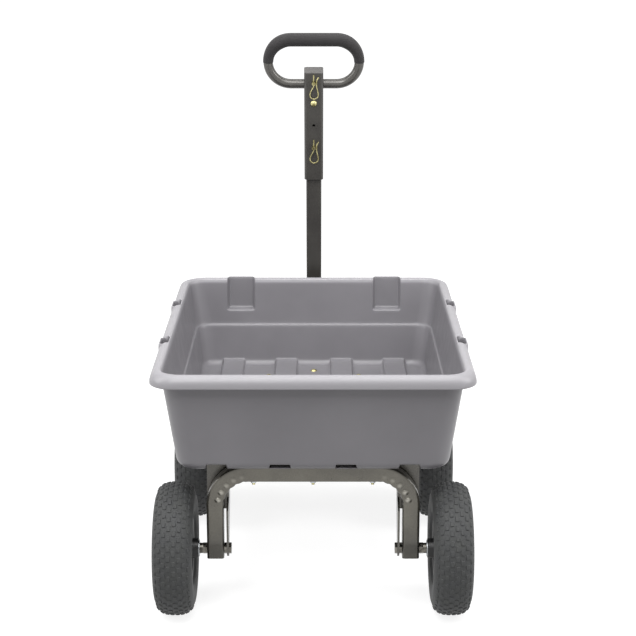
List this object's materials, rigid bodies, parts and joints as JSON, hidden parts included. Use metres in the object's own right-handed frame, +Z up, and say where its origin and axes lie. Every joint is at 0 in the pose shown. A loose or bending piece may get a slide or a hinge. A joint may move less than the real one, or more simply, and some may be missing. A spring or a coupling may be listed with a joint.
{
  "type": "tipping dump cart",
  "caption": "Garden dump cart: a ribbed moulded tray on a bent arch tips about the rear axle; steered front axle, fold-down loop handle with hitch pins, pneumatic tyres.",
  "frame": {"origin": "on the floor under the middle of the cart's box", "axes": "+Z up, +Y towards the front and the handle, +X to the right seen from behind"},
  "size_m": [0.781, 1.264, 1.3564],
  "materials": {
    "tray_poly": "moulded, fine grain",
    "frame_enamel": "hammered gunmetal paint",
    "handle_enamel": "dark hammered paint",
    "yellow_zinc": "yellow zinc plate",
    "zinc_steel": "bright zinc plate",
    "black_plastic": "moulded",
    "cap_plastic": "moulded",
    "grip_foam": "closed-cell foam",
    "tyre_rubber": "moulded rubber",
    "black_enamel": "gloss black paint",
    "valve_rubber": "moulded rubber"
  },
  "bodies": {
    "frame": {"left_rail": "frame_enamel", "right_rail": "frame_enamel", "front_crossmember": "frame_enamel", "rear_crossmember": "frame_enamel", "steering_head": "frame_enamel", "head_bushes": "zinc_steel", "rear_axle_bolts": "zinc_steel", "rear_axle_nuts": "zinc_steel", "rear_spacers": "zinc_steel", "latch_pivot_bolt": "zinc_steel"},
    "tray": {"tray": "tray_poly", "arch": "frame_enamel", "arch_bolts": "yellow_zinc", "arch_nuts": "zinc_steel", "leg_bushes": "zinc_steel", "floor_bolts": "yellow_zinc", "floor_nuts": "zinc_steel", "striker": "frame_enamel"},
    "latch": {"latch_lever": "handle_enamel"},
    "steering": {"front_axle_beam": "frame_enamel", "front_axle_bolts": "zinc_steel", "front_axle_nuts": "zinc_steel", "front_spacers": "zinc_steel", "kingpin": "zinc_steel", "kingpin_nut": "zinc_steel", "thrust_washer": "black_plastic", "tongue": "frame_enamel", "tongue_braces": "frame_enamel", "handle_pivot_bolt": "zinc_steel", "handle_stop_pin": "zinc_steel"},
    "handle": {"handle_shaft": "handle_enamel", "shaft_bush": "black_plastic", "handle_sleeve": "handle_enamel", "sleeve_cap": "cap_plastic", "grip_loop": "handle_enamel", "foam_grip": "grip_foam", "hitch_pins": "yellow_zinc", "sleeve_bolt": "yellow_zinc"},
    "upper_clip": {"upper_clip": "yellow_zinc"},
    "lower_clip": {"lower_clip": "yellow_zinc"},
    "rear_left_wheel": {"rear_left_tyre": "tyre_rubber", "rear_left_rim": "black_enamel", "rear_left_bearings": "zinc_steel", "rear_left_valve": "valve_rubber"},
    "rear_right_wheel": {"rear_right_tyre": "tyre_rubber", "rear_right_rim": "black_enamel", "rear_right_bearings": "zinc_steel", "rear_right_valve": "valve_rubber"},
    "front_left_wheel": {"front_left_tyre": "tyre_rubber", "front_left_rim": "black_enamel", "front_left_bearings": "zinc_steel", "front_left_valve": "valve_rubber"},
    "front_right_wheel": {"front_right_tyre": "tyre_rubber", "front_right_rim": "black_enamel", "front_right_bearings": "zinc_steel", "front_right_valve": "valve_rubber"}
  },
  "joints": [
    {"name": "tray_tip", "type": "hinge", "parent": "frame", "child": "tray", "pos_m": [0, -0.46696, 0.165], "axis": [1, 0, 0], "range_deg": [0, 80]},
    {"name": "steer", "type": "hinge", "parent": "frame", "child": "steering", "pos_m": [0, 0.19504, 0.165], "axis": [0, 0, 1], "range_deg": [-25, 25]},
    {"name": "handle_fold", "type": "hinge", "parent": "steering", "child": "handle", "pos_m": [0, 0.60504, 0.19], "axis": [-1, 0, 0], "range_deg": [0, 98]},
    {"name": "latch_swing", "type": "hinge", "parent": "frame", "child": "latch", "pos_m": [0, 0.25304, 0.328], "axis": [1, 0, 0], "range_deg": [0, 30]},
    {"name": "upper_clip_pull", "type": "slide", "parent": "handle", "child": "upper_clip", "axis": [0, 0.2079, -0.9781], "range_m": [0, 0.04]},
    {"name": "lower_clip_pull", "type": "slide", "parent": "handle", "child": "lower_clip", "axis": [0, 0.2079, -0.9781], "range_m": [0, 0.04]},
    {"name": "rear_left_spin", "type": "hinge", "parent": "frame", "child": "rear_left_wheel", "pos_m": [-0.34, -0.46696, 0.165], "axis": [1, 0, 0], "continuous": true},
    {"name": "rear_right_spin", "type": "hinge", "parent": "frame", "child": "rear_right_wheel", "pos_m": [0.34, -0.46696, 0.165], "axis": [1, 0, 0], "continuous": true},
    {"name": "front_left_spin", "type": "hinge", "parent": "steering", "child": "front_left_wheel", "pos_m": [-0.34, 0.19504, 0.165], "axis": [1, 0, 0], "continuous": true},
    {"name": "front_right_spin", "type": "hinge", "parent": "steering", "child": "front_right_wheel", "pos_m": [0.34, 0.19504, 0.165], "axis": [1, 0, 0], "continuous": true}
  ]
}
